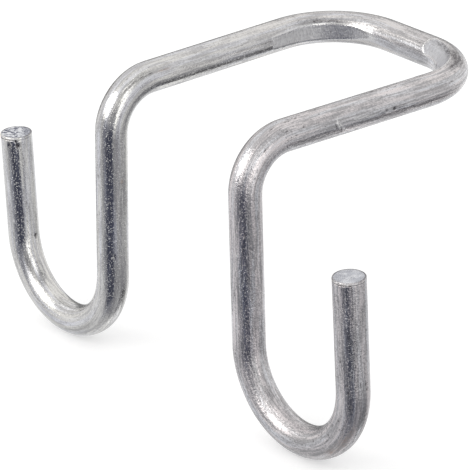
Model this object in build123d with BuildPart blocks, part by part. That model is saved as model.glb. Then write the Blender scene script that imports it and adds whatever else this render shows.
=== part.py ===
from build123d import *
import math
import os

# Ladder hook: one round steel rod, bent into a level loop that goes round a ladder's side rail,
# with a long leg and an upturned hook below each front corner of the loop.
# Millimetres. X runs along the rear bar, the hooks are at the front (-Y) and Z is up.
# The origin is on the inner side of the rear bar, halfway along it, at the rod's mid height.

# Rod
rod_d = 8.0

# Loop, between centrelines: two level arms, drawn slightly together towards the front
rear_spacing = 53.6
front_spacing = 50.0
reach = 75.0
rear_bend_r = 18.5
front_bend_r = 12.0

# Legs and hooks: the drop is from the arms' centreline to the lowest centreline of the hooks
hook_drop = 67.5
hook_bend_r = 18.5
leg_splay = 1.3
left_tip_length = 26.5
right_tip_length = 27.8
left_tip_lean = 3.4
right_tip_lean = -3.0

# Cut ends: sheared a little out of square, facing this bearing in plan, with a broken edge
cut_slant = 4.0
cut_bearing = -40.0
cut_edge = 0.3

# Print of the bending block on the inside of the left rear bend: a flat that starts on the arm,
# ahead of the bend, follows the block's rounded nose and runs out before the rear bar
left_print_depth = 0.56
left_print_lead = 7.0
left_print_deepest = 26.0
left_print_relief = 1.3
block_nose_undersize = 0.7

# Print on the right rear bend: it starts at the block's edge, just inside the bend, leans upwards
# and gets shallower towards the arm
right_print_depth = 0.79
right_print_lean = 50.4
right_print_start = 5.1
right_print_runout = 1.16

rod_r = rod_d / 2
rear_y = rod_r
front_y = rear_y - reach


def in_plan(angle):
    """Level unit vector at an angle in degrees from +X."""
    return Vector(math.cos(math.radians(angle)), math.sin(math.radians(angle)), 0)


def front_corner(side):
    """Where the centrelines of an arm and its long leg would meet."""
    return Vector(side * front_spacing / 2, front_y, 0)


def rear_corner(side):
    """Where the centrelines of an arm and the rear bar would meet."""
    return Vector(side * rear_spacing / 2, rear_y, 0)


def hook_points(side, lean, tip_length):
    """Centreline points of one hook: foot of the long leg, bottom, foot of the tip, cut end."""
    splay = math.radians(leg_splay)
    tilt = math.radians(lean)
    leg_length = (hook_drop - hook_bend_r + hook_bend_r * math.sin(splay)) / math.cos(splay)
    foot = front_corner(side) + Vector(side * math.sin(splay), 0, -math.cos(splay)) * leg_length
    centre = foot + Vector(side * math.cos(splay), 0, math.sin(splay)) * hook_bend_r
    bottom = centre + Vector(0, 0, -hook_bend_r)
    rise = centre + Vector(side * math.cos(tilt), 0, -math.sin(tilt)) * hook_bend_r
    end = rise + Vector(side * math.sin(tilt), 0, math.cos(tilt)) * tip_length
    return foot, bottom, rise, end


def rear_bend(side):
    """Start of a rear bend on its arm, centre of the bend, and the arm's two directions in plan."""
    along = (rear_corner(side) - front_corner(side)).normalized()
    inward = Vector(-side * along.Y, side * along.X, 0)
    turn = along.get_angle(Vector(-side, 0, 0))
    start = rear_corner(side) - along * (rear_bend_r * math.tan(math.radians(turn / 2)))
    return start, start + inward * rear_bend_r, along, inward


left_foot, left_bottom, left_rise, left_end = hook_points(-1, left_tip_lean, left_tip_length)
right_foot, right_bottom, right_rise, right_end = hook_points(1, right_tip_lean, right_tip_length)

with BuildPart() as ladder_hook:
    # Rod, bent from one cut end to the other
    spare = rod_d * math.tan(math.radians(cut_slant))
    left_start = left_end + (left_end - left_rise).normalized() * spare
    right_stop = right_end + (right_end - right_rise).normalized() * spare
    with BuildLine() as centreline:
        Line(left_start, left_rise)
        ThreePointArc(left_rise, left_bottom, left_foot)
        FilletPolyline(
            left_foot,
            front_corner(-1),
            rear_corner(-1),
            rear_corner(1),
            front_corner(1),
            right_foot,
            radius=[front_bend_r, rear_bend_r, rear_bend_r, front_bend_r],
        )
        ThreePointArc(right_foot, right_bottom, right_rise)
        Line(right_rise, right_stop)
    with BuildSketch(Plane(origin=left_start, z_dir=left_rise - left_start)):
        Circle(rod_r)
    sweep(path=centreline.wire())

    # Cut ends
    for rise, end in ((left_rise, left_end), (right_rise, right_end)):
        square = (end - rise).normalized()
        facing = square + in_plan(cut_bearing) * math.tan(math.radians(cut_slant))
        with BuildSketch(Plane(origin=end, z_dir=facing)):
            Circle(rod_d)
        extrude(amount=rod_d, mode=Mode.SUBTRACT)
        chamfer(ladder_hook.faces().sort_by_distance(end)[0].edges(), length=cut_edge)

    # Left print: the outline of the bending block in plan, cut through the rod's inner side
    bend_start, bend_centre, along, inward = rear_bend(-1)
    nose_r = rear_bend_r - rod_r - block_nose_undersize
    nose_shift = block_nose_undersize + left_print_depth
    deepest = math.radians(left_print_deepest)
    nose_centre = bend_centre + (along * math.sin(deepest) - inward * math.cos(deepest)) * nose_shift
    relief = math.radians(left_print_relief)
    face_forward = along * math.cos(relief) - inward * math.sin(relief)
    face_outward = inward * -math.cos(relief) - along * math.sin(relief)
    nose_start = nose_centre + face_outward * nose_r
    face_length = ((nose_start - bend_start).dot(along) + left_print_lead) / math.cos(relief)
    block_edge = nose_start - face_forward * face_length
    with BuildSketch(Plane.XY.offset(-rod_r)):
        with BuildLine():
            Line(block_edge, nose_start)
            nose = JernArc(nose_start, face_forward, nose_r, -120)
            Polyline(nose @ 1, nose_centre, block_edge + inward * rod_r, block_edge)
        make_face()
    extrude(amount=rod_d, mode=Mode.SUBTRACT)

    # Right print: a leaning flat swept round an axis a little nearer to the start of the print
    bend_start, bend_centre, along, inward = rear_bend(1)
    print_from = in_plan(90 - right_print_start)
    axis_point = bend_centre + print_from * right_print_runout
    lean = math.radians(right_print_lean)
    to_flat = rod_r - right_print_depth
    flat_radius = rear_bend_r - right_print_runout - to_flat * math.cos(lean)
    flat_height = to_flat * math.sin(lean)
    with BuildSketch(Plane(origin=axis_point, x_dir=print_from, z_dir=print_from.cross(Vector(0, 0, 1)))):
        with Locations(Location((flat_radius, flat_height, 0), (0, 0, 180 - right_print_lean))):
            Rectangle(rod_r, rod_d, align=(Align.MIN, Align.CENTER))
    revolve(axis=Axis(axis_point, (0, 0, -1)), revolution_arc=120, mode=Mode.SUBTRACT)

ladder_hook.part.label = "hook_rod"

os.makedirs("parts", exist_ok=True)
export_step(ladder_hook.part, "parts/hook_rod.step")
print("rod along its centreline", round(centreline.wire().length, 1), "mm")
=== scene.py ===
"""Ladder hook: the bent rod with its prints, cut ends, marks and zinc finish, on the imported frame."""
import math

import bmesh
import bpy
from mathutils import Matrix, Vector


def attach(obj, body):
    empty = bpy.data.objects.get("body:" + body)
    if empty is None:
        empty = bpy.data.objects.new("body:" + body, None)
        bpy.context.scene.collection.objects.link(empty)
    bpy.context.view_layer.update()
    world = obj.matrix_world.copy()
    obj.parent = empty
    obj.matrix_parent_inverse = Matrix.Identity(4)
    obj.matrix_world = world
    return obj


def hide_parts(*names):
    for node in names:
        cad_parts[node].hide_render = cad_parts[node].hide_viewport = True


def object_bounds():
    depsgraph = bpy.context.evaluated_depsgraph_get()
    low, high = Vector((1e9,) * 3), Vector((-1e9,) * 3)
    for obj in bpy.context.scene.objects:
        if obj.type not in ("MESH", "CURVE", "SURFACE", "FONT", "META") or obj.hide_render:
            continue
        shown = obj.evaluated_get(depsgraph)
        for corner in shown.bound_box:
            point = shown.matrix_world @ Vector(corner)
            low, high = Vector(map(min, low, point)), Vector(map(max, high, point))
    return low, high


bl_info = {
    "name": "Ladder hook",
    "version": (1, 0, 0),
    "blender": (4, 5, 0),
    "location": "View3D > Sidebar > Ladder hook",
    "description": "Bends and marks the rod of the hook, gives it its finish and sets the studio",
    "category": "Object",
}

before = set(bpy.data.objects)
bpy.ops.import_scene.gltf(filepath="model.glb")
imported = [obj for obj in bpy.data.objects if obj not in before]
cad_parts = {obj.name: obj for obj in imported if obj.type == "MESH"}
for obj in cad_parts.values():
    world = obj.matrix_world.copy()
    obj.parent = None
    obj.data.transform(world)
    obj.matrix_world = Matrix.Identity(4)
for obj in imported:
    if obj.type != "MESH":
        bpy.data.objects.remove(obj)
CAD_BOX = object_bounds()

NODE = "hook_rod"
PIECE = "bent_rod"
BODY = "root"
MM = 0.001
TINY = 1e-9
SHARP_ANGLE = math.radians(35)
UP = Vector((0, 0, 1))
FRONT = Vector((0, -1, 0))

# Bends by number, from the left cut end
HOOK_BENDS = (0, 5)
LEFT_FRONT, LEFT_REAR, RIGHT_REAR = 1, 2, 3

# Lengths in these tables are in mm, and along is counted from the left cut end.
# Rings: steps from a cut end and from the wall of a print, and the shortest stretch between two
END_STEPS = (0.12, 0.25, 0.37, 0.5, 0.62, 0.75, 0.88, 1.0)
WALL_STEPS = (-0.9, -0.3, -0.02, 0.02)
SHORTEST_STRETCH = 0.01
RING_DIGITS = 4

# Cut ends: reach of the slant, lip and hollow under the edge, and the turns of the worn edge
SLANT_REACH = 2.2
LIP_AT, LIP_HALF_WIDTH = 0.36, 0.11
HOLLOW_AT, HOLLOW_HALF_WIDTH = 0.60, 0.14
HOLLOW_DEPTH = 2.0
LIP_ALL_ROUND = 0.15
EDGE_DEGREES = (22.5, 45, 67.5, 90)

# Cut faces: start of the relief, dark edge and its start in radii, and the left one's break and shear
RELIEF_START = 0.4
DARK_EDGE, DARK_EDGE_FROM = 0.75, 0.93
BREAK_SOFT = 0.9
TO_BROKEN = (0.637, 0.771)
SHEAR_AHEAD, SHEAR_ASIDE = (0.914, 0.407), (-0.407, 0.914)

# Prints: where they are looked for (the right reach is in bend radii), how deep, and their burr
LEFT_MARGIN, LEFT_STOP = 1.0, 8.0
RIGHT_MARGIN, RIGHT_REACH = 1.5, 2
PRESS_LIMIT = 2.0
SMOOTH_DEPTH = 0.12
BURR_REACH, BURR_AT, BURR_HALF_WIDTH = 0.4, 0.09, 0.11

# Marks: fall and reach of their slopes, room round a seam, depth at which the painted shade in a dent is
# full, most darkening, and height at which the painted highlight on a raised mark is full
BELL_FALL = 1.4
MARK_REACH = 2.5
SEAM_ROOM = 1.0
DENT_SHADE_DEPTH, MOST_DARKENING = 0.08, 2.0
HIGHLIGHT_HEIGHT = 0.07

# Pits and beads: along, round, half length, half width, height (below 0 for a pit). Round is in degrees
# from the front side, as the rod is fed
PITS = (
    (1.7, 335, 0.9, 0.20, -0.10), (2.3, 308, 1.5, 0.22, -0.12), (3.1, 318, 0.9, 0.18, -0.08),
    (22.1, 336, 0.45, 0.40, 0.10), (27.1, 258, 0.85, 0.40, -0.20), (89.4, 58, 0.9, 0.20, -0.10),
    (271.6, 270, 0.46, 0.40, -0.22), (274.0, 270, 0.50, 0.30, -0.16), (275.2, 262, 0.55, 0.26, -0.12),
    (414.8, 42, 0.45, 0.26, -0.12), (417.9, 35, 0.55, 0.25, -0.11), (419.8, 30, 0.40, 0.36, -0.13),
    (419.6, 98, 0.45, 0.30, -0.14), (418.2, 102, 0.35, 0.28, -0.12), (329.5, 314, 0.45, 0.28, -0.10),
    (333.1, 294, 0.45, 0.26, -0.10), (334.7, 342, 0.35, 0.30, 0.10), (429.8, 338, 0.35, 0.28, 0.09),
    (309.4, 304, 1.30, 0.22, -0.09), (376.8, 256, 1.60, 0.20, -0.08), (1.9, 334, 0.50, 0.40, -0.15),
    (2.1, 303, 0.70, 0.45, -0.16), (0.9, 311, 0.25, 0.50, -0.13),
)

# Seams: along and round at the start, along and round at the end, half width, height
SEAMS = (
    (130.4, 39, 137.8, 54, 0.20, -0.09),
    (137.8, 54, 146.0, 60, 0.15, -0.04),
    (277.5, 268, 284.0, 277, 0.14, 0.05),
    (279.5, 277, 285.0, 284, 0.12, 0.04),
    (228.9, 60, 229.3, 20, 0.16, 0.07),
    (229.3, 20, 230.4, 352, 0.16, 0.07),
    # Nick across the right arm: two curved ridges and two grooves
    (289.0, 300, 289.3, 283, 0.20, 0.07),
    (289.3, 283, 288.5, 260, 0.22, 0.09),
    (288.5, 276, 287.5, 258, 0.20, 0.08),
    (287.5, 258, 286.2, 250, 0.20, 0.08),
    (289.9, 282, 289.4, 259, 0.20, -0.09),
    (288.2, 262, 287.8, 249, 0.22, -0.10),
)

# Faint rust on the right hook and at the top of the left leg: along, round, half length, half reach in
# degrees, strength
RUST = (
    (405.0, 50, 2.6, 16, 1.0), (400.5, 44, 1.8, 12, 1.0), (408.5, 62, 1.4, 10, 1.0),
    (109.3, 90, 0.8, 7, 1.0), (130.0, 339, 0.7, 6, 1.0), (141.5, 57, 2.6, 4, 1.0),
)

# Soft dark patches painted on the plating, in the form of the rust; the two on the left rear bend, at 191.5
# and 197.5, are a painted dark reflection
DARK_PATCHES_AND_PAINTED_REFLECTION = (
    (233.5, 12, 4.2, 12, 1.0), (239.5, 12, 4.2, 15, 1.2), (243.0, 346, 3.6, 22, 1.6),
    (245.5, 334, 2.6, 22, 1.6), (248.8, 340, 2.4, 14, 1.2), (191.5, 46, 4.6, 8, 1.0),
    (197.5, 50, 4.0, 7, 1.0),
)

# Stretches where the rings stand closer, from and to
FINE_STRETCHES = (
    (0.0, 5.0), (21.0, 23.4), (25.6, 28.6), (88.0, 91.0),
    (130.0, 138.2), (175.6, 211.0), (229.0, 262.0), (270.4, 275.4),
    (284.6, 291.2), (307.4, 311.4), (328.6, 335.6), (413.6, 421.0),
)

# Plating along the rod: where it turns worn, matt, and pressed as on the right print. Then stretches of
# painted light, a painted highlight on the right front bend and painted shade across the rear bar: from, to,
# softness, tone
WORN = (120, 300)
MATT = (335, 400)
PRESSED_RIGHT = (215, 225)
PAINTED_LIGHT_STRETCHES = (
    (303, 321, 5, 0.20),
    (206, 234, 6, -0.10),
)

# Noise patterns on the straight rod: scale, stretch along and across it, detail, roughness
STREAK = (1.0, (0.09, 1.25, 1.25), 4.0, 0.62)
FINE_STREAK = (1.0, (0.32, 4.2, 4.2), 2.0, 0.6)
PATCHES = (0.20, (0.35, 1, 1), 3.0, 0.5)
HUE = (0.9, (0.05, 1, 1), 2.0, 0.5)
CLUSTERS = (0.16, (0.7, 1.6, 1.6), 2.0, 0.5)
PIT_PATTERN = (1.0, (0.9, 1.9, 1.9), 3.0, 0.6)
CROSS = (1.0, (3.2, 0.9, 0.9), 3.0, 0.6)

# Noise patterns on the hook as it stands, in the same form
GRAIN = (1.75, (1, 1, 1), 3.0, 0.6)
SPECK = (2.9, (1, 1, 1), 1.0, 0.5)
CUT_GRAIN = (1.5, (1, 1, 1), 3.0, 0.6)
CUT_SWIRL = (0.35, (1, 1, 1), 1.0, 0.5)
SHEAR_LINES = (1.0, (0.7, 2.0, 1.0), 2.0, 0.5)

# Sockets of the Mix node for colours
MIX_SHARE, MIX_FIRST, MIX_SECOND, MIX_RESULT = 0, 6, 7, 2

# What the zinc reflects, in degrees: the walls all round and, each over the ones before, lighter and darker
# things with their bearing from and to, softness of each, height angle from and to, softness and tone
WALLS = (0.84, 0.83, 0.815)
CARDS = (
    (-400, 400, 1, 1, -100, -12, 7, (0.58, 0.58, 0.58)),
    (-400, -124, 1, 10, -36, -12, 7, (0.74, 0.74, 0.75)),
    (-140, -88, 10, 8, -12, 8, 6, (0.58, 0.575, 0.57)),
    (-145, -106, 10, 8, 24, 66, 10, (0.92, 0.91, 0.885)),
    (97, 200, 8, 8, -38, -4, 7, (0.93, 0.93, 0.93)),
    (92, 200, 8, 8, -90, -38, 5, (0.70, 0.70, 0.70)),
    (66, 90, 6, 8, -48, -21, 5, (0.42, 0.42, 0.42)),
    (-30, 72, 6, 6, -80, -20, 7, (0.31, 0.31, 0.325)),
    (-8, 60, 12, 12, -20, 60, 8, (0.67, 0.665, 0.66)),
    (-62, 42, 14, 10, 53, 72, 5, (0.46, 0.46, 0.46)),
    (10, 40, 6, 6, 44, 66, 6, (0.40, 0.40, 0.40)),
    (-62, -28, 8, 4, 14, 60, 10, (0.62, 0.615, 0.605)),
    (-27, -4, 4, 12, -7, 50, 8, (1.50, 1.49, 1.45)),
    (38, 74, 5, 5, -51, -35, 4, (0.13, 0.13, 0.135)),
    (62, 112, 8, 8, -85, -50, 3, (0.96, 0.96, 0.96)),
    (-106, -26, 14, 2.5, -70, 6, 8, (0.26, 0.265, 0.295)),
    (-130, -84, 8, 9, -62, -30, 6, (0.60, 0.60, 0.61)),
    (-82, -27, 8, 2.5, -52, -9, 6, (0.070, 0.075, 0.105)),
    (-70, -29, 6, 2.5, 2, 24, 10, (0.29, 0.29, 0.305)),
    (128, 178, 6, 6, -18, 8, 5, (0.22, 0.22, 0.22)),
)


def setting(name, description, default, kind=bpy.props.FloatProperty, **more):
    """A property of one of the groups."""
    return kind(name=name, description=description, default=default, **more)


def length(name, description, size, least=0.0):
    """A length setting, given in mm."""
    return setting(name, description, size * MM, min=least, unit="LENGTH", precision=5)


def angle(name, description, degrees):
    """An angle setting, given in degrees."""
    return setting(name, description, math.radians(degrees), subtype="ANGLE", unit="ROTATION")


def factor(name, description, default):
    """A setting from 0 to 1."""
    return setting(name, description, default, min=0.0, max=1.0, subtype="FACTOR")


def number(name, description, default, unit):
    """A plain number from 0 up."""
    return setting(name, description, default, min=0.0, unit=unit)


def count(name, description, default):
    """A whole number from 4 up."""
    return setting(name, description, default, bpy.props.IntProperty, min=4, max=128)


def position(name, description, default):
    """A place in the shared frame."""
    return setting(name, description, default, bpy.props.FloatVectorProperty, subtype="XYZ", unit="LENGTH")


def colour(name, description, default):
    """A colour setting."""
    vector = bpy.props.FloatVectorProperty
    return setting(name, description, default, vector, min=0.0, max=1.0, subtype="COLOR")


class HookRodSizes(bpy.types.PropertyGroup):
    """Sizes of the bent rod, between centrelines where nothing else is said"""

    rod_radius: length("Rod radius", "Radius of the round rod", 4.0)
    rear_spacing: length("Rear spacing", "Spacing of the arms at the rear bar", 53.6)
    front_spacing: length("Front spacing", "Spacing of the arms at the front corners", 50.0)
    reach: length("Reach", "Front corners to rear bar", 75.0)
    rear_bend: length("Rear bend radius", "Radius of the two rear bends", 18.5)
    front_bend: length("Front bend radius", "Radius of the two bends above the legs", 12.0)
    hook_drop: length("Hook drop", "Arms to the lowest point of the hooks", 67.5)
    hook_bend: length("Hook bend radius", "Radius of the two hooks", 18.5)
    leg_splay: angle("Leg splay", "Outward lean of the long legs", 1.3)
    left_tip: length("Left tip length", "Straight end of the left hook", 26.5)
    right_tip: length("Right tip length", "Straight end of the right hook", 27.8)
    left_lean: angle("Left tip lean", "Outward lean of the left tip", 3.4)
    right_lean: angle("Right tip lean", "Outward lean of the right tip", -3.0)
    segments: count("Segments", "Points round the rod", 96)
    spacing: length("Ring spacing", "Distance between rings on the plain rod", 0.80)
    fine_spacing: length("Fine spacing", "Distance between rings at prints and marks", 0.25)


class HookEndSizes(bpy.types.PropertyGroup):
    """Sizes of the two sheared ends"""

    slant: angle("Slant", "How far the cut is out of square", 4.0)
    bearing: angle("Bearing", "Direction in plan that the cut faces", -40.0)
    edge: length("Edge", "Radius of the worn edge", 0.22)
    left_proud: length("Left proud", "How far the shear drew the left end out", 0.36)
    right_proud: length("Right proud", "How far the shear drew the right end out", 0.22)
    lip: length("Lip", "Height of the burr under the front of the edge", 0.07)
    roll: length("Roll", "How far the shear rolled the front of the edge in", 0.17)
    roll_bearing: angle("Roll bearing", "Direction in plan of the rolled part of the edge", -76.0)
    rings: count("Face rings", "Rings on each cut face", 22)
    left_tear: length("Left tear", "Height of the torn metal on the left cut face", 0.10)
    right_tear: length("Right tear", "Height of the low swirl on the right cut face", 0.06)


class HookPrintSizes(bpy.types.PropertyGroup):
    """Sizes of the prints that the bending block left on the two rear bends"""

    left_depth: length("Left depth", "Depth of the left print at its deepest", 0.56)
    left_lead: length("Left lead", "Length of the left print ahead of the bend", 7.0)
    left_deepest: angle("Left deepest", "Angle round the bend at which the left print is deepest", 26.0)
    left_relief: angle("Left relief", "Lean of the left print's flat against the arm", 1.3)
    nose_undersize: length("Nose undersize", "How much tighter the block's nose is than the rod", 0.7)
    right_depth: length("Right depth", "Depth of the right print at its start", 0.79)
    right_lean: angle("Right lean", "Upward lean of the right print's flat", 50.4)
    right_start: angle("Right start", "Angle round the bend at which the right print starts", 5.1)
    right_runout: length("Right runout", "Loss of depth of the right print in a quarter turn", 1.16)
    right_wall: length("Right wall", "Slope at the start of the right print", 0.9)
    burr: length("Burr", "Height of the metal pushed up beside the prints", 0.05)


class HookFinish(bpy.types.PropertyGroup):
    """Colours and surface of the zinc and of the cut faces"""

    zinc: colour("Zinc", "Plating on the left half", (0.87, 0.865, 0.845))
    zinc_cool: colour("Cool zinc", "Bluish streaks of the plating", (0.83, 0.84, 0.885))
    zinc_worn: colour("Worn zinc", "Plating on the right half", (0.87, 0.825, 0.84))
    zinc_dull: colour("Dull zinc", "Darker, duller patches of the plating", (0.44, 0.435, 0.45))
    zinc_pressed: colour("Left pressed zinc", "Plating of the left print", (0.99, 0.99, 1.0))
    zinc_pressed_right: colour("Right pressed zinc", "Plating of the right print", (0.76, 0.77, 0.81))
    # This dark colour is also used for the painted shade in dents and for the soft dark patches
    pits_and_shade: colour("Pits", "Dark pits and scratches in the plating", (0.13, 0.12, 0.13))
    cut_steel: colour("Cut steel", "Sheared end faces", (0.66, 0.68, 0.74))
    cut_bright: colour("Bright cut steel", "Bright shear lines of the cut faces", (0.93, 0.95, 1.0))
    cut_dark: colour("Dark cut steel", "Hollows of the torn left cut face", (0.20, 0.21, 0.27))
    break_line: length("Break line", "Where the left cut face turns from shear lines to grain", -94.0, -1.0)
    rust: colour("Rust", "Faint rust in a few places", (0.42, 0.27, 0.19))
    roughness: factor("Roughness", "Roughness of the cleanest plating", 0.055)
    grain: length("Grain", "Height of the plating's fine grain", 0.10)
    specks: length("Specks", "Height of the tiny lumps in the plating", 0.045)
    streaks: length("Streaks", "Height of the drawing streaks along the rod", 0.12)
    cut_lines: length("Cut lines", "Height of the fine shear lines on the cut faces", 0.05)
    cut_grain: length("Cut grain", "Height of the fine grain on the cut faces", 0.06)


class HookStudio(bpy.types.PropertyGroup):
    """Camera, floor and light"""

    camera_at: position("Camera", "Place of the camera", (0.583578, -0.535974, 0.298392))
    azimuth: angle("Azimuth", "Camera's bearing, from the front towards the right", 50.406)
    elevation: angle("Elevation", "Camera's height angle", 23.787)
    roll: angle("Roll", "Camera's roll", -0.714)
    lens: number("Lens", "Focal length in millimetres", 260.525, "CAMERA")
    sensor: number("Sensor", "Sensor width in millimetres", 36.0, "CAMERA")
    floor: colour("Floor", "Pale floor", (0.86, 0.86, 0.86))
    floor_lift: factor("Floor lift", "Light that the floor adds for the camera", 0.36)
    floor_size: length("Floor size", "Half the width of the floor", 6000)
    sky: number("Sky", "Strength of the light from all round", 0.78, "NONE")
    lamp_power: number("Lamp", "Power of the soft lamp", 2.55, "POWER")
    lamp_colour: colour("Lamp colour", "Colour of the soft lamp", (1.0, 0.985, 0.95))
    lamp_aim: position("Lamp aim", "Place that the soft lamp faces", (0, -0.06, -0.03))
    lamp_width: length("Lamp width", "Width of the soft lamp", 950)
    lamp_height: length("Lamp height", "Height of the soft lamp", 700)
    lamp_distance: length("Lamp distance", "Distance of the soft lamp", 950)
    lamp_bearing: angle("Lamp bearing", "Bearing of the soft lamp in plan", -104.0)
    lamp_elevation: angle("Lamp elevation", "Height angle of the soft lamp", 33.0)


def in_plan(turn):
    """Level unit vector at an angle from +X."""
    return Vector((math.cos(turn), math.sin(turn), 0))


def leaning(side, lean, direction):
    """Unit vector up (1) or down (-1) a leg or tip on the left (-1) or right (1) that leans outwards."""
    return Vector((side * math.sin(lean) * direction, 0, math.cos(lean) * direction))


class Route:
    """The bends and straight feeds of the rod, from the left cut end to the right one."""

    def __init__(self, sizes):
        half_gap = (sizes.rear_spacing - sizes.front_spacing) / 2
        left_arm = Vector((-half_gap, sizes.reach, 0))
        right_arm = Vector((-half_gap, -sizes.reach, 0))
        splay_out = Vector((math.sin(sizes.leg_splay), 0, math.cos(sizes.leg_splay)))
        self.headings = (
            leaning(-1, sizes.left_lean, -1),
            splay_out,
            left_arm.normalized(),
            Vector((1, 0, 0)),
            right_arm.normalized(),
            Vector((splay_out.x, 0, -splay_out.z)),
            leaning(1, sizes.right_lean, 1),
        )
        half = (sizes.hook_bend, sizes.front_bend, sizes.rear_bend)
        self.radii = (*half, *reversed(half))
        self.axes = []
        self.turns = []
        for number, (before, after) in enumerate(zip(self.headings, self.headings[1:])):
            axis = FRONT if number in HOOK_BENDS else before.cross(after).normalized()
            turn = math.atan2(before.cross(after).dot(axis), before.dot(after)) % (2 * math.pi)
            self.axes.append(axis)
            self.turns.append(turn)
        front_cut = sizes.front_bend * math.tan(self.turns[LEFT_FRONT] / 2)
        rear_cut = sizes.rear_bend * math.tan(self.turns[LEFT_REAR] / 2)
        leg_drop = sizes.hook_drop - sizes.hook_bend * (1 - math.sin(sizes.leg_splay))
        leg = leg_drop / math.cos(sizes.leg_splay)
        arm = left_arm.length - front_cut - rear_cut
        rear_bar = sizes.rear_spacing - 2 * rear_cut
        straight_leg = leg - front_cut
        self.feeds = (sizes.left_tip, straight_leg, arm, rear_bar, arm, straight_leg, sizes.right_tip)
        corner = Vector((-sizes.front_spacing / 2, sizes.rod_radius - sizes.reach, 0))
        foot = corner - splay_out * leg
        hook_centre = foot + Vector((-splay_out.z, 0, splay_out.x)) * sizes.hook_bend
        aside = Vector((math.cos(sizes.left_lean), 0, math.sin(sizes.left_lean)))
        rise = hook_centre - aside * sizes.hook_bend
        self.start = rise - self.headings[0] * sizes.left_tip
        self.length = sum(self.feeds) + sum(r * t for r, t in zip(self.radii, self.turns))
        self.spans = []
        at, centre, heading, ahead = 0.0, self.start, self.headings[0], FRONT
        for number, feed_length in enumerate(self.feeds):
            self.spans.append((at, None, centre, heading, ahead))
            at += feed_length
            centre = centre + heading * feed_length
            if number < len(self.radii):
                self.spans.append((at, number, centre, heading, ahead))
                centre, heading, ahead = self.bent(number, self.turns[number], centre, heading, ahead)
                at += self.radii[number] * self.turns[number]

    def bent(self, number, turn, centre, heading, ahead):
        """The centre, heading and front side of the rod after some of a bend."""
        axis = self.axes[number]
        pivot = centre + axis.cross(heading) * self.radii[number]
        rotation = Matrix.Rotation(turn, 3, axis)
        return pivot + rotation @ (centre - pivot), rotation @ heading, rotation @ ahead

    def bend_start(self, number):
        """Distance along the rod at which a bend starts."""
        return next(span[0] for span in self.spans if span[1] == number)


def stations(route, sizes, ends, walls):
    """Stretches of the straight rod, each with the number of equal steps that it is cut into."""
    low, high = ends.edge, route.length - ends.edge
    edges = {low, high}
    edges.update(span[0] for span in route.spans)
    for stretch in FINE_STRETCHES:
        edges.update(place * MM for place in stretch)
    for step in END_STEPS:
        edges.update((low + step * MM, high - step * MM))
    for wall in walls:
        edges.update(wall + step * MM for step in WALL_STEPS)
    edges = sorted(e for e in edges if low <= e <= high)
    found = []
    for start, stop in zip(edges, edges[1:]):
        middle = (start + stop) / 2 / MM
        fine = any(a <= middle <= b for a, b in FINE_STRETCHES)
        steps = max(1, round((stop - start) / (sizes.fine_spacing if fine else sizes.spacing)))
        if stop - start >= SHORTEST_STRETCH * MM:
            found.append((start, stop, steps))
    return found


def drawn_on(bm, edges):
    """Extrudes a ring of edges: all that this makes, its verts, and its edges round the rod."""
    made = bmesh.ops.extrude_edge_only(bm, edges=edges)["geom"]
    verts = [g for g in made if isinstance(g, bmesh.types.BMVert)]
    new = set(verts)
    drawn = [g for g in made if isinstance(g, bmesh.types.BMEdge)]
    return made, verts, [g for g in drawn if g.verts[0] in new and g.verts[1] in new]


def draw_straight(bm, sizes, stretches):
    """Draws the rod straight along Z, with rings across it wherever the stretches are cut."""
    at = stretches[0][0]
    lift = Matrix.Translation((0, 0, at))
    bmesh.ops.create_circle(bm, segments=sizes.segments, radius=sizes.rod_radius, matrix=lift)
    edges = list(bm.edges)
    for _, stop, steps in stretches:
        _, verts, edges = drawn_on(bm, edges)
        bmesh.ops.translate(bm, verts=verts, vec=(0, 0, stop - at))
        at = stop
        if steps > 1:
            new = set(verts)
            lengthwise = [e for e in bm.edges if (e.verts[0] in new) != (e.verts[1] in new)]
            bmesh.ops.subdivide_edges(bm, edges=lengthwise, cuts=steps - 1, use_grid_fill=True)


class Ring:
    """One ring of the rod: its place along it, verts, centre, heading and two directions across it."""

    def __init__(self, along, verts, centre, heading, ahead):
        self.along = along
        self.verts = verts
        self.centre = centre
        self.heading = heading
        self.ahead = ahead
        self.aside = heading.cross(ahead)

    def outward(self, turn):
        """Direction straight out of the rod at an angle round it."""
        return self.ahead * math.cos(turn) + self.aside * math.sin(turn)


def ring_at(route, along, verts):
    """The ring that stands at a distance along the bent rod."""
    start, bend, centre, heading, ahead = next(s for s in reversed(route.spans) if s[0] <= along + TINY)
    if bend is None:
        return Ring(along, verts, centre + heading * (along - start), heading, ahead)
    turn = (along - start) / route.radii[bend]
    return Ring(along, verts, *route.bent(bend, turn, centre, heading, ahead))


def bend_frame(route, sizes, side):
    """Start and centre of a rear bend, and the arm's directions backwards and inwards, in plan."""
    arm = Vector((side * (sizes.rear_spacing - sizes.front_spacing) / 2, sizes.reach, 0)).normalized()
    inward = Vector((-side * arm.y, side * arm.x, 0))
    corner = Vector((side * sizes.rear_spacing / 2, sizes.rod_radius, 0))
    start = corner - arm * (sizes.rear_bend * math.tan(route.turns[LEFT_REAR] / 2))
    return start, start + inward * sizes.rear_bend, arm, inward


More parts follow.
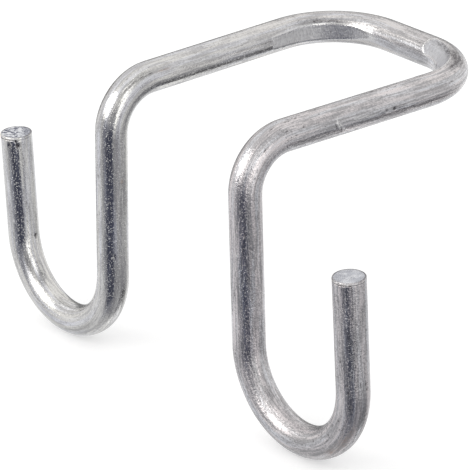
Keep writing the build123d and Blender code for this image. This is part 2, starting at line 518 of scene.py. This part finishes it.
class LeftPrint:
    """The flat and rounded nose of the bending block on the inside of the left rear bend."""

    def __init__(self, route, sizes, prints):
        start, centre, arm, inward = bend_frame(route, sizes, -1)
        self.nose_r = sizes.rear_bend - sizes.rod_radius - prints.nose_undersize
        shift = prints.nose_undersize + prints.left_depth
        deepest = prints.left_deepest
        self.nose = centre + (arm * math.sin(deepest) - inward * math.cos(deepest)) * shift
        relief = prints.left_relief
        self.forward = arm * math.cos(relief) - inward * math.sin(relief)
        self.outward = -inward * math.cos(relief) - arm * math.sin(relief)
        self.flat_end = self.nose + self.outward * self.nose_r
        flat_length = ((self.flat_end - start).dot(arm) + prints.left_lead) / math.cos(relief)
        self.edge = self.flat_end - self.forward * flat_length

    def press(self, point):
        """How far a point of the rod is inside the block (below 0 outside), and the way out of it."""
        if (point - self.flat_end).dot(self.forward) < 0:
            inside = -(point - self.flat_end).dot(self.outward)
            ahead = (point - self.edge).dot(self.forward)
            return (inside if ahead >= 0 else min(inside, ahead)), self.outward
        away = Vector((point.x - self.nose.x, point.y - self.nose.y, 0))
        return self.nose_r - away.length, away.normalized()


class RightPrint:
    """The leaning flat on the right rear bend, from the block's edge round towards the arm."""

    def __init__(self, route, sizes, prints):
        _, centre, _, _ = bend_frame(route, sizes, 1)
        self.begin = in_plan(math.pi / 2 - prints.right_start)
        self.clockwise = Vector((self.begin.y, -self.begin.x, 0))
        self.axis = centre + self.begin * prints.right_runout
        to_flat = sizes.rod_radius - prints.right_depth
        lean = prints.right_lean
        self.radius = sizes.rear_bend - prints.right_runout - to_flat * math.cos(lean)
        self.height = to_flat * math.sin(lean)
        self.inward = -math.cos(lean)
        self.upward = math.sin(lean)
        self.wall_slope = prints.right_depth / prints.right_wall

    def press(self, point):
        """How far a point of the rod is inside the print (below 0 outside), and the way out of it."""
        away = Vector((point.x - self.axis.x, point.y - self.axis.y, 0))
        inside = (away.length - self.radius) * self.inward + (point.z - self.height) * self.upward
        ahead = away.dot(self.clockwise)
        out = -(away.normalized() * self.inward + UP * self.upward)
        return inside + min(0.0, ahead) * self.wall_slope, out


def bell(distance, half_width):
    """Smooth bump of height 1 that has all but gone at twice its half width."""
    return math.exp(-((distance / half_width) ** 2) * BELL_FALL)


def wrapped(turn):
    """An angle brought between -pi and pi."""
    return (turn + math.pi) % (2 * math.pi) - math.pi


def off_seam(along, turn, radius, start, start_round, stop, stop_round):
    """Distance in mm of a place on the rod from a straight line between two places, along and round."""
    first = Vector((along - start, wrapped(turn - math.radians(start_round)) * radius))
    run = Vector((stop - start, wrapped(math.radians(stop_round - start_round)) * radius))
    share = min(1.0, max(0.0, first.dot(run) / run.length_squared))
    return (first - run * share).length


def mark_height(along, turn, radius):
    """Height of the pits, beads and nicks at a place on the rod, in metres."""
    height = 0.0
    for place, degrees, half_length, half_width, top in PITS:
        ahead = along - place
        if abs(ahead) < MARK_REACH * half_length:
            aside = wrapped(turn - math.radians(degrees)) * radius
            if abs(aside) < MARK_REACH * half_width:
                height += top * bell(ahead, half_length) * bell(aside, half_width)
    for start, start_round, stop, stop_round, half_width, top in SEAMS:
        if min(start, stop) - SEAM_ROOM < along < max(start, stop) + SEAM_ROOM:
            off = off_seam(along, turn, radius, start, start_round, stop, stop_round)
            if off < MARK_REACH * half_width:
                height += top * bell(off, half_width)
    return height * MM


def patch_amount(patches, along, turn):
    """Strength of the soft patches of one kind at a place on the rod."""
    amount = 0.0
    for place, degrees, half_length, half_reach, strength in patches:
        aside = math.degrees(wrapped(turn - math.radians(degrees)))
        amount += strength * bell(along - place, half_length) * bell(aside, half_reach)
    return amount


class CutEnd:
    """One sheared end: its place on the rod, the way out of it, the slant of the cut and its relief."""

    def __init__(self, ends, along, centre, square, proud, tear, tear_height):
        self.along = along
        self.centre = centre
        self.square = square
        self.proud = proud
        self.tear = tear
        self.tear_height = tear_height
        self.tilt = in_plan(ends.bearing) * math.tan(ends.slant)
        self.towards = in_plan(ends.roll_bearing)

    def rise(self, across):
        """How far the cut stands out, along the rod, at a place across it."""
        return self.proud - across.dot(self.tilt) / (1 + self.square.dot(self.tilt))

    def relief(self, across):
        """Height of the torn metal at a place across the cut face."""
        return self.tear_height * self.tear(across.x / MM, across.y / MM)

    def facing(self, out):
        """Share of the shear's roll on the edge: 1 where it faces the roll's bearing, 0 behind."""
        return max(0.0, out.dot(self.towards)) ** 2


def shape_ring(ring, cut, ends, sizes, press, burr, layers):
    """Brings one ring of the straight rod to its place, with the cut's slant, the print and the marks."""
    straight, pressed, rust, painted_shade_and_dark_patches, painted_highlight = layers
    distance = abs(cut.along - ring.along)
    near_cut = max(0.0, 1 - distance / (SLANT_REACH * MM))
    lip = bell(distance / MM - LIP_AT, LIP_HALF_WIDTH)
    lip -= HOLLOW_DEPTH * bell(distance / MM - HOLLOW_AT, HOLLOW_HALF_WIDTH)
    for vert in ring.verts:
        vert[straight] = (vert.co.z, vert.co.x, vert.co.y)
        turn = math.atan2(vert.co.y, vert.co.x)
        out = ring.outward(turn)
        across = out * sizes.rod_radius
        height = mark_height(ring.along / MM, turn, sizes.rod_radius / MM)
        if near_cut:
            height += ends.lip * lip * (LIP_ALL_ROUND + cut.facing(out))
            height -= ends.roll * cut.facing(out) * max(0.0, 1 - distance / (ends.roll * 2))
        vert.co = ring.centre + across + out * height + cut.square * (cut.rise(across) * near_cut)
        vert[rust] = min(1.0, patch_amount(RUST, ring.along / MM, turn))
        # Depth darkens pits, nick grooves and the hollow under the lip of the cut: painted shade in dents.
        # The soft dark patches add to it
        dent_shade = max(0.0, -height / (DENT_SHADE_DEPTH * MM))
        vert[painted_shade_and_dark_patches] = min(MOST_DARKENING, dent_shade + patch_amount(DARK_PATCHES_AND_PAINTED_REFLECTION, ring.along / MM, turn))
        # Raised beads, ridges and the lip of the cut get a painted white highlight by their height
        vert[painted_highlight] = min(1.0, max(0.0, height / (HIGHLIGHT_HEIGHT * MM)))
        if press is None:
            continue
        inside, way_out = press(vert.co)
        if 0 < inside < PRESS_LIMIT * MM:
            vert[pressed] = min(1.0, inside / (SMOOTH_DEPTH * MM))
            vert.co += way_out * inside
        elif -BURR_REACH * MM < inside <= 0:
            raised = bell(inside / MM + BURR_AT, BURR_HALF_WIDTH)
            vert.co += out * (burr * raised)
            # Painted white highlight along the burr beside the prints, left off where the rod is darkened
            vert[painted_highlight] = max(vert[painted_highlight], raised * max(0.0, 1 - vert[painted_shade_and_dark_patches]))


def close_end(bm, ring, cut, ends, sizes, layers):
    """Turns the worn edge of a cut end and fills its face with rings down to one point in the middle."""
    straight, painted_shade_and_dark_patches = layers[0], layers[3]
    rim = set(ring.verts)
    edges = [e for e in bm.edges if e.is_boundary and e.verts[0] in rim]
    face_r = sizes.rod_radius - ends.edge
    steps = []
    for turn in map(math.radians, EDGE_DEGREES):
        steps.append((face_r + ends.edge * math.cos(turn), ends.edge * (1 - math.sin(turn)), False))
    for number in range(1, ends.rings + 1):
        steps.append((face_r * (1 - number / (ends.rings + 1)), 0.0, True))
    faces = []
    sign = 1 if cut.along > 0 else -1
    for radius, depth, on_face in steps:
        made, verts, edges = drawn_on(bm, edges)
        if on_face:
            faces += [g for g in made if isinstance(g, bmesh.types.BMFace)]
        for vert in verts:
            turn = math.atan2(vert[straight].z, vert[straight].y)
            out = ring.outward(turn)
            roll = ends.roll * cut.facing(out)
            across = out * (radius * (1 - roll / face_r) if on_face else radius - roll)
            inward = (face_r - radius) / (RELIEF_START * MM)
            relief = cut.relief(across) * min(1.0, inward) if on_face else 0.0
            vert.co = cut.centre + across + cut.square * (cut.rise(across) - depth + relief)
            vert[straight] = (cut.along - sign * depth, across.dot(ring.ahead), across.dot(ring.aside))
            clean = on_face and radius < DARK_EDGE_FROM * face_r
            vert[painted_shade_and_dark_patches] = 0.0 if clean else DARK_EDGE * (1 - cut.facing(out)) ** 2
    middle = bmesh.ops.contextual_create(bm, geom=edges)["faces"]
    hub = bmesh.ops.poke(bm, faces=middle)
    for vert in hub["verts"]:
        vert[straight] = (cut.along, 0, 0)
    return faces + list(hub["faces"])


def left_tear(x, y):
    """Shear lines across the left half of the left cut face, and a grainy break on its right half."""
    to_broken = TO_BROKEN[0] * x + TO_BROKEN[1] * y
    lines = math.sin(y * 6.3 + 1.3 * math.sin(x * 1.3 + y) + 0.35 * x)
    lines += 0.6 * math.sin(y * 10.1 - 0.8 * x + 2.0)
    grain = math.sin(x * 5.1 + 3.1 * math.sin(y * 4.3)) * math.sin(y * 4.7 + 2.3 * math.sin(x * 3.9))
    share = 1 / (1 + math.exp(4 * (to_broken - 0.4)))
    return lines * share * 0.6 + grain * (1 - share) * 0.5


def right_tear(x, y):
    """Shallow hollow with a low swirl on the right cut face."""
    swirl = math.sin(1.9 * math.hypot(x - 0.6, y + 0.4) + 0.8 * math.atan2(y + 0.4, x - 0.6))
    return swirl * 0.5 - 0.6 * math.exp(-(x * x + y * y) / 5)


def node(tree, kind, **settings):
    """A shader node with its settings."""
    made = tree.nodes.new(kind)
    for name, value in settings.items():
        setattr(made, name, value)
    return made


def feed(tree, source, target):
    """Joins an output socket to an input socket, or sets the input to a number or a colour."""
    if isinstance(source, bpy.types.NodeSocket):
        tree.links.new(source, target)
    elif isinstance(source, (int, float)):
        target.default_value = source
    else:
        target.default_value = (*source, 1)


def attribute(tree, name, output="Fac"):
    """One of the mesh's own attributes."""
    return node(tree, "ShaderNodeAttribute", attribute_name=name).outputs[output]


def split(tree, vector):
    """The three coordinates of a vector socket."""
    made = node(tree, "ShaderNodeSeparateXYZ")
    feed(tree, vector, made.inputs[0])
    return made.outputs


def set_inputs(made, **values):
    """Sets a node's sockets by name, with _ for a space."""
    for name, value in values.items():
        made.inputs[name.replace("_", " ")].default_value = value


def maths(tree, operation, *values):
    """A maths node on sockets or numbers, and its output."""
    made = node(tree, "ShaderNodeMath", operation=operation)
    for socket, value in zip(made.inputs, values):
        feed(tree, value, socket)
    return made.outputs[0]


def times(tree, first, second):
    """The product of two sockets or numbers."""
    return maths(tree, "MULTIPLY", first, second)


def weighed(tree, total, *parts):
    """A total with other values added to it, each times its weight."""
    for value, weight in parts:
        total = maths(tree, "MULTIPLY_ADD", value, weight, total)
    return total


def ramp(tree, value, low, high, to_low=0.0, to_high=1.0):
    """A smooth step of a value from one number to another."""
    made = node(tree, "ShaderNodeMapRange", interpolation_type="SMOOTHSTEP")
    feed(tree, value, made.inputs["Value"])
    set_inputs(made, From_Min=low, From_Max=high, To_Min=to_low, To_Max=to_high)
    return made.outputs["Result"]


def window(tree, value, low, high, low_soft, high_soft):
    """1 between two numbers, fading to 0 outside them."""
    rise = ramp(tree, value, low - low_soft, low + low_soft)
    return times(tree, rise, ramp(tree, value, high + high_soft, high - high_soft))


def noise(tree, vector, scale, stretch, detail, roughness):
    """Noise on coordinates in mm, stretched by a Mapping node."""
    mapping = node(tree, "ShaderNodeMapping")
    feed(tree, vector, mapping.inputs["Vector"])
    mapping.inputs["Scale"].default_value = [s / MM for s in stretch]
    made = node(tree, "ShaderNodeTexNoise")
    feed(tree, mapping.outputs["Vector"], made.inputs["Vector"])
    set_inputs(made, Scale=scale, Detail=detail, Roughness=roughness)
    return made.outputs["Fac"]


def mixed(tree, share, first, second):
    """A mix of two colours, each a socket or a colour."""
    made = node(tree, "ShaderNodeMix", data_type="RGBA")
    for number, value in ((MIX_SHARE, share), (MIX_FIRST, first), (MIX_SECOND, second)):
        feed(tree, value, made.inputs[number])
    return made.outputs[MIX_RESULT]


def relieved(tree, *reliefs):
    """A normal with bumps over each other: height socket, share of it and distance of each."""
    normal = None
    for height, share, distance in reliefs:
        made = node(tree, "ShaderNodeBump")
        feed(tree, times(tree, height, share), made.inputs["Height"])
        set_inputs(made, Strength=1.0, Distance=distance)
        if normal is not None:
            feed(tree, normal, made.inputs["Normal"])
        normal = made.outputs["Normal"]
    return normal


def empty_tree(owner):
    """The node tree of a material or a world, without its nodes."""
    owner.use_nodes = True
    owner.node_tree.nodes.clear()
    return owner.node_tree


def new_metal(name):
    """An empty node material with its metallic Principled shader."""
    material = bpy.data.materials.new(name)
    tree = empty_tree(material)
    shader = node(tree, "ShaderNodeBsdfPrincipled")
    set_inputs(shader, Metallic=1.0)
    feed(tree, shader.outputs["BSDF"], node(tree, "ShaderNodeOutputMaterial").inputs["Surface"])
    return material, tree, shader


def zinc_plating(finish):
    """Zinc plating on drawn rod: streaks along it, grain, duller patches, pressed flats, a touch of rust."""
    material, tree, shader = new_metal("zinc_plating")
    rod = attribute(tree, "straight_rod", "Vector")
    pressed, rust, painted_shade_and_dark_patches, painted_highlight = (attribute(tree, n) for n in ("pressed", "rust", "painted_shade_and_dark_patches", "painted_highlight"))
    place = node(tree, "ShaderNodeTexCoord").outputs["Object"]
    along = split(tree, rod)[0]

    # Patterns and places
    worn, matt, on_right = (ramp(tree, along, a * MM, b * MM) for a, b in (WORN, MATT, PRESSED_RIGHT))
    streak, fine_streak, patches = (noise(tree, rod, *n) for n in (STREAK, FINE_STREAK, PATCHES))
    hue, pit_noise, cross = (noise(tree, rod, *n) for n in (HUE, PIT_PATTERN, CROSS))
    clusters = ramp(tree, noise(tree, rod, *CLUSTERS), 0.42, 0.60)
    grain = noise(tree, place, *GRAIN)
    speck = ramp(tree, noise(tree, place, *SPECK), 0.60, 0.72)
    smooth = maths(tree, "SUBTRACT", 1.0, times(tree, pressed, 0.35))

    # Plain plating, from dull to light
    tone = weighed(tree, 0.0, (streak, 0.90), (fine_streak, 0.40), (grain, 0.40), (patches, 0.30))
    tone = maths(tree, "SUBTRACT", ramp(tree, tone, 0.85, 1.15), 0.6)
    contrast = weighed(tree, 0.72, (worn, 0.26))
    tone = maths(tree, "MULTIPLY_ADD", tone, contrast, weighed(tree, 0.79, (worn, -0.15)))
    tone = weighed(tree, tone, (matt, -0.12))
    # Painted highlight on the right front bend and painted shade across the rear bar
    for low, high, soft, change in PAINTED_LIGHT_STRETCHES:
        tone = weighed(tree, tone, (window(tree, along, low * MM, high * MM, soft * MM, soft * MM), change))
    warm = mixed(tree, worn, finish.zinc, finish.zinc_worn)
    light = mixed(tree, ramp(tree, hue, 0.36, 0.56), finish.zinc_cool, warm)
    base = mixed(tree, tone, finish.zinc_dull, light)

    # Wiped plating; dark noise pits; painted shade in dents and soft dark patches, two of them a painted
    # dark reflection; painted white highlight on raised marks, the lip and the burrs; and rust, each over
    # the ones before
    flat = mixed(tree, on_right, finish.zinc_pressed, finish.zinc_pressed_right)
    wiped = mixed(tree, ramp(tree, cross, 0.36, 0.62, 0.55, 1.0), finish.zinc_dull, flat)
    pitted = times(tree, ramp(tree, pit_noise, 0.40, 0.30), smooth)
    pitted = times(tree, pitted, times(tree, clusters, weighed(tree, 0.50, (worn, 0.50))))
    speckled_shade_and_patches = times(tree, painted_shade_and_dark_patches, ramp(tree, pit_noise, 0.58, 0.40, 0.30, 1.0))
    dark = maths(tree, "MINIMUM", maths(tree, "MAXIMUM", pitted, speckled_shade_and_patches), 1.0)
    rusty = times(tree, rust, ramp(tree, grain, 0.42, 0.58, 0.25, 1.0))
    for amount, most, over in (
        (pressed, 0.85, wiped),
        (dark, 0.88, finish.pits_and_shade),
        (painted_highlight, 0.9, (1, 1, 1)),
        (rusty, 0.55, finish.rust),
    ):
        base = mixed(tree, times(tree, amount, most), base, over)
    feed(tree, base, shader.inputs["Base Color"])

    # Roughness and relief
    rough = weighed(tree, finish.roughness, (fine_streak, 0.05), (worn, 0.07), (pressed, 0.20))
    rough = weighed(tree, rough, (matt, 0.10), (dark, 0.15), (rusty, 0.25))
    feed(tree, rough, shader.inputs["Roughness"])
    rougher = times(tree, smooth, weighed(tree, 0.35, (worn, 0.65)))
    normal = relieved(
        tree,
        (streak, rougher, finish.streaks),
        (fine_streak, rougher, finish.streaks * 0.35),
        (dark, -1.0, finish.streaks * 0.5),
        (speck, smooth, finish.specks),
        (cross, pressed, finish.grain * 1.2),
        (grain, rougher, finish.grain),
    )
    feed(tree, normal, shader.inputs["Normal"])
    return material


def sheared_steel(finish):
    """Cut faces: bright shear lines and a grainy break on the left one, a pale smooth right one."""
    material, tree, shader = new_metal("sheared_steel")
    place = node(tree, "ShaderNodeTexCoord").outputs["Object"]
    x, y, _ = split(tree, place)
    ways = (TO_BROKEN, SHEAR_AHEAD, SHEAR_ASIDE)
    to_broken, ahead, aside = (weighed(tree, 0.0, (y, b), (x, a)) for a, b in ways)
    turned = node(tree, "ShaderNodeCombineXYZ")
    feed(tree, ahead, turned.inputs[0])
    feed(tree, aside, turned.inputs[1])
    lines = noise(tree, turned.outputs[0], *SHEAR_LINES)
    grain, swirl = (noise(tree, place, *n) for n in (CUT_GRAIN, CUT_SWIRL))
    broken = ramp(tree, to_broken, finish.break_line - BREAK_SOFT * MM, finish.break_line + BREAK_SOFT * MM)
    torn = mixed(tree, ramp(tree, lines, 0.43, 0.53), finish.cut_dark, finish.cut_bright)
    rough_half = mixed(tree, ramp(tree, grain, 0.38, 0.62), finish.cut_dark, finish.cut_steel)
    left = mixed(tree, broken, torn, rough_half)
    right = mixed(tree, ramp(tree, swirl, 0.42, 0.62), finish.cut_steel, finish.cut_bright)
    both = mixed(tree, maths(tree, "GREATER_THAN", x, 0.0), left, right)
    feed(tree, mixed(tree, attribute(tree, "painted_shade_and_dark_patches"), both, finish.pits_and_shade), shader.inputs["Base Color"])
    feed(tree, weighed(tree, 0.20, (grain, 0.15)), shader.inputs["Roughness"])
    normal = relieved(tree, (lines, 1.0, finish.cut_lines), (grain, 1.0, finish.cut_grain))
    feed(tree, normal, shader.inputs["Normal"])
    return material


def placed(name, data):
    """An object of some data at the origin of the scene."""
    made = bpy.data.objects.new(name, data)
    bpy.context.scene.collection.objects.link(made)
    return made


def mesh_of(bm, name, *materials):
    """A mesh of a bmesh, with its materials."""
    mesh = bpy.data.meshes.new(name)
    bm.to_mesh(mesh)
    bm.free()
    for material in materials:
        mesh.materials.append(material)
    return mesh


def finished_piece(bm, name, *materials):
    """Makes a bmesh an object with its materials, that rides on the frame's body."""
    bmesh.ops.recalc_face_normals(bm, faces=bm.faces)
    for face in bm.faces:
        face.smooth = True
    mesh = mesh_of(bm, name, *materials)
    mesh.set_sharp_from_angle(angle=SHARP_ANGLE)
    piece = placed(name, mesh)
    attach(piece, BODY)
    return piece


def gathered_rings(bm, route):
    """The rings of the straight rod in order, each with its place on the bent one."""
    found = {}
    for vert in bm.verts:
        found.setdefault(round(vert.co.z / MM, RING_DIGITS), []).append(vert)
    return [ring_at(route, place * MM, found[place]) for place in sorted(found)]


class HOOK_OT_rod(bpy.types.Operator):
    """Bends the rod, prints, marks and cuts it, and lets it stand for the CAD rod"""

    bl_idname = "hook.rod"
    bl_label = "Bend the rod"

    def execute(self, context):
        scene = context.scene
        sizes, ends, prints = scene.hook_rod_sizes, scene.hook_end_sizes, scene.hook_print_sizes
        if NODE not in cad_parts:
            raise RuntimeError("the packed frame has no " + NODE)
        route = Route(sizes)
        right_bend = route.bend_start(RIGHT_REAR)
        left_wall = route.bend_start(LEFT_REAR) - prints.left_lead
        right_wall = right_bend + sizes.rear_bend * prints.right_start
        bm = bmesh.new()
        layers = [bm.verts.layers.float_vector.new("straight_rod")]
        layers += [bm.verts.layers.float.new(name) for name in ("pressed", "rust", "painted_shade_and_dark_patches", "painted_highlight")]
        draw_straight(bm, sizes, stations(route, sizes, ends, (left_wall, right_wall)))
        rings = gathered_rings(bm, route)
        first, last = rings[0], rings[-1]
        stop = last.centre + last.heading * ends.edge
        left = (0.0, route.start, -route.headings[0], ends.left_proud, left_tear, ends.left_tear)
        right = (route.length, stop, last.heading, ends.right_proud, right_tear, ends.right_tear)
        left_cut, right_cut = CutEnd(ends, *left), CutEnd(ends, *right)
        left_press = LeftPrint(route, sizes, prints).press
        right_press = RightPrint(route, sizes, prints).press
        for ring in rings:
            cut = right_cut if ring.along > route.length / 2 else left_cut
            press = None
            if left_wall - LEFT_MARGIN * MM < ring.along < right_bend - LEFT_STOP * MM:
                press = left_press
            elif right_wall - RIGHT_MARGIN * MM < ring.along < right_bend + RIGHT_REACH * sizes.rear_bend:
                press = right_press
            shape_ring(ring, cut, ends, sizes, press, prints.burr, layers)
        faces = close_end(bm, first, left_cut, ends, sizes, layers)
        faces += close_end(bm, last, right_cut, ends, sizes, layers)
        for face in faces:
            face.material_index = 1
        finish = scene.hook_finish
        piece = finished_piece(bm, PIECE, zinc_plating(finish), sheared_steel(finish))
        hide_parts(NODE)
        print("bent_rod:", len(rings), "rings,", len(piece.data.polygons), "faces")
        return {"FINISHED"}


def studio_world(scene, studio):
    """White to the camera, plain light all round, and the hook's surroundings in reflections."""
    scene.world = bpy.data.worlds.new("studio")
    tree = empty_tree(scene.world)
    x, y, z = split(tree, node(tree, "ShaderNodeTexCoord").outputs["Generated"])
    elevation = times(tree, maths(tree, "ARCSINE", z), 180 / math.pi)
    bearing = times(tree, maths(tree, "ARCTAN2", y, x), 180 / math.pi)
    shown = WALLS
    for left, right, left_soft, right_soft, low, high, soft, tone in CARDS:
        across = window(tree, bearing, left, right, left_soft, right_soft)
        upright = window(tree, elevation, low, high, soft, soft)
        shown = mixed(tree, times(tree, across, upright), shown, tone)
    path = node(tree, "ShaderNodeLightPath")
    shone = mixed(tree, path.outputs["Is Glossy Ray"], (studio.sky,) * 3, shown)
    seen = mixed(tree, path.outputs["Is Camera Ray"], shone, (1, 1, 1))
    background = node(tree, "ShaderNodeBackground")
    feed(tree, seen, background.inputs["Color"])
    feed(tree, background.outputs[0], node(tree, "ShaderNodeOutputWorld").inputs["Surface"])


def floor_material(studio):
    """Pale floor that the camera sees as white where nothing shades it."""
    material = bpy.data.materials.new("pale_floor")
    tree = empty_tree(material)
    matt = node(tree, "ShaderNodeBsdfDiffuse")
    feed(tree, studio.floor, matt.inputs["Color"])
    lift = node(tree, "ShaderNodeEmission")
    feed(tree, (1, 1, 1), lift.inputs["Color"])
    path = node(tree, "ShaderNodeLightPath")
    feed(tree, times(tree, path.outputs["Is Camera Ray"], studio.floor_lift), lift.inputs["Strength"])
    both = node(tree, "ShaderNodeAddShader")
    feed(tree, matt.outputs[0], both.inputs[0])
    feed(tree, lift.outputs[0], both.inputs[1])
    feed(tree, both.outputs[0], node(tree, "ShaderNodeOutputMaterial").inputs["Surface"])
    return material


def camera_axes(azimuth, elevation, roll):
    """Camera's right, up and back directions, for a camera that bears from the front towards the right."""
    flat = math.cos(elevation)
    back = Vector((math.sin(azimuth) * flat, -math.cos(azimuth) * flat, math.sin(elevation)))
    level = in_plan(azimuth)
    up = back.cross(level)
    return (
        level * math.cos(roll) + up * math.sin(roll),
        up * math.cos(roll) - level * math.sin(roll),
        back,
    )


class HOOK_OT_studio(bpy.types.Operator):
    """Sets the camera, the pale floor, the soft lamp and the light all round"""

    bl_idname = "hook.studio"
    bl_label = "Set the studio"

    def execute(self, context):
        scene = context.scene
        studio = scene.hook_studio
        data = bpy.data.cameras.new("camera")
        data.lens = studio.lens
        data.sensor_width = studio.sensor
        camera = placed("camera", data)
        axes = Matrix(camera_axes(studio.azimuth, studio.elevation, studio.roll)).transposed()
        camera.matrix_world = Matrix.Translation(Vector(studio.camera_at)) @ axes.to_4x4()
        scene.camera = camera

        bm = bmesh.new()
        bmesh.ops.create_grid(bm, x_segments=1, y_segments=1, size=studio.floor_size)
        bmesh.ops.translate(bm, verts=bm.verts, vec=(0, 0, CAD_BOX[0][2]))
        floor = placed("floor", mesh_of(bm, "floor", floor_material(studio)))
        floor.visible_glossy = False

        lamp_data = bpy.data.lights.new("soft_lamp", "AREA")
        lamp_data.shape = "ELLIPSE"
        lamp_data.size = studio.lamp_width
        lamp_data.size_y = studio.lamp_height
        lamp_data.energy = studio.lamp_power
        lamp_data.color = studio.lamp_colour
        lamp = placed("soft_lamp", lamp_data)
        level = in_plan(studio.lamp_bearing)
        out = level * math.cos(studio.lamp_elevation) + UP * math.sin(studio.lamp_elevation)
        lamp.location = Vector(studio.lamp_aim) + out * studio.lamp_distance
        lamp.rotation_euler = out.to_track_quat("Z", "Y").to_euler()

        studio_world(scene, studio)
        scene.view_settings.view_transform = "Standard"
        return {"FINISHED"}


class HOOK_PT_panel(bpy.types.Panel):
    """Sizes, finish and studio of the ladder hook"""

    bl_idname = "HOOK_PT_panel"
    bl_label = "Ladder hook"
    bl_space_type = "VIEW_3D"
    bl_region_type = "UI"
    bl_category = "Ladder hook"

    def draw(self, context):
        column = self.layout.column()
        for name in GROUPS:
            group = getattr(context.scene, name)
            column.label(text=type(group).__name__)
            for key in type(group).__annotations__:
                column.prop(group, key)
        column.operator(HOOK_OT_studio.bl_idname)
        column.operator(HOOK_OT_rod.bl_idname)


GROUPS = {
    "hook_rod_sizes": HookRodSizes,
    "hook_end_sizes": HookEndSizes,
    "hook_print_sizes": HookPrintSizes,
    "hook_finish": HookFinish,
    "hook_studio": HookStudio,
}
CLASSES = (*GROUPS.values(), HOOK_OT_studio, HOOK_OT_rod, HOOK_PT_panel)


def register():
    """Registers the classes and hangs the settings on the scene."""
    for cls in CLASSES:
        bpy.utils.register_class(cls)
    for name, group in GROUPS.items():
        setattr(bpy.types.Scene, name, bpy.props.PointerProperty(type=group))


def unregister():
    """Takes the settings and the classes away again."""
    for name in GROUPS:
        delattr(bpy.types.Scene, name)
    for cls in reversed(CLASSES):
        bpy.utils.unregister_class(cls)


def main():
    """Builds the studio and the hook."""
    register()
    bpy.ops.hook.studio()
    bpy.ops.hook.rod()


if __name__ == "__main__":
    main()
